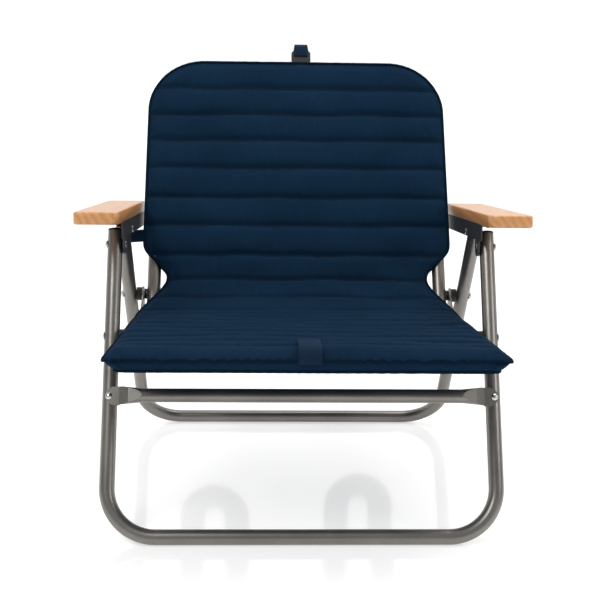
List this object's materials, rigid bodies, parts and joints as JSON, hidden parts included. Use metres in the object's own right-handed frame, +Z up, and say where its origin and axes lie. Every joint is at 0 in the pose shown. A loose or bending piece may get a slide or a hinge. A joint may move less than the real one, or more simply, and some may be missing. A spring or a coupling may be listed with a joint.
{
  "type": "folding beach chair",
  "caption": "Low folding beach chair with a quilted navy cover, grey tube frame, wooden armrests and backpack straps.",
  "frame": {"origin": "floor level, under the middle of the chair's bounding box", "axes": "+Z up, the sitter faces -Y, +X is on the right seen from the front"},
  "size_m": [0.653, 0.726, 0.7042],
  "materials": {
    "frame_paint": "satin metallic powder coat",
    "bracket_paint": "flat dark grey coat",
    "bright_steel": "bright zinc plated",
    "black_plastic": "moulded, fine grain",
    "oak_wood": "light sanded and oiled",
    "navy_fabric": "quilted woven polyester",
    "navy_webbing": "woven webbing"
  },
  "bodies": {
    "front": {"front_frame": "frame_paint", "front_crossbar": "frame_paint", "crossbar_rivets": "bright_steel", "leg_caps": "black_plastic", "arm_pivot_bolts": "bright_steel", "seat_pivot_rivets": "bright_steel", "seat_pivot_spacers": "black_plastic"},
    "rear": {"rear_frame": "frame_paint"},
    "seat": {"seat_frame": "frame_paint", "rear_caps": "black_plastic", "seat_lugs": "frame_paint", "lug_rivets": "bright_steel", "hinge_spacers": "black_plastic", "hinge_washers": "bright_steel", "hinge_bolts": "bright_steel", "seat_pad": "navy_fabric", "front_tab": "navy_webbing"},
    "back": {"back_frame": "frame_paint", "back_end_caps": "black_plastic", "back_pad": "navy_fabric", "top_webbing": "navy_webbing", "buckle_socket": "black_plastic", "buckle_plug": "black_plastic", "side_webbing": "navy_webbing", "shoulder_strap_left": "navy_webbing", "shoulder_strap_right": "navy_webbing"},
    "arms": {"arm_bracket_left": "bracket_paint", "arm_bracket_right": "bracket_paint", "armrest_left": "oak_wood", "armrest_right": "oak_wood", "arm_screws": "black_plastic", "arm_studs": "bright_steel"}
  },
  "joints": [
    {"name": "leg_fold", "type": "hinge", "parent": "seat", "child": "front", "pos_m": [0, -0.12989, 0.2745], "axis": [1, 0, 0], "range_deg": [0, 106]},
    {"name": "rear_leg_fold", "type": "hinge", "parent": "seat", "child": "rear", "pos_m": [0, 0.12071, 0.2895], "axis": [1, 0, 0], "range_deg": [0, 45]},
    {"name": "arm_fold", "type": "hinge", "parent": "front", "child": "arms", "pos_m": [0, -0.07214, 0.40153], "axis": [1, 0, 0], "range_deg": [-100, 0]},
    {"name": "back_recline", "type": "hinge", "parent": "seat", "child": "back", "pos_m": [0, 0.12071, 0.2895], "axis": [1, 0, 0], "range_deg": [-30, 114]}
  ],
  "couplings": [
    {"joint": "rear_leg_fold", "follows": "leg_fold", "ratio": 0.4245},
    {"joint": "arm_fold", "follows": "leg_fold", "ratio": -0.9434}
  ]
}
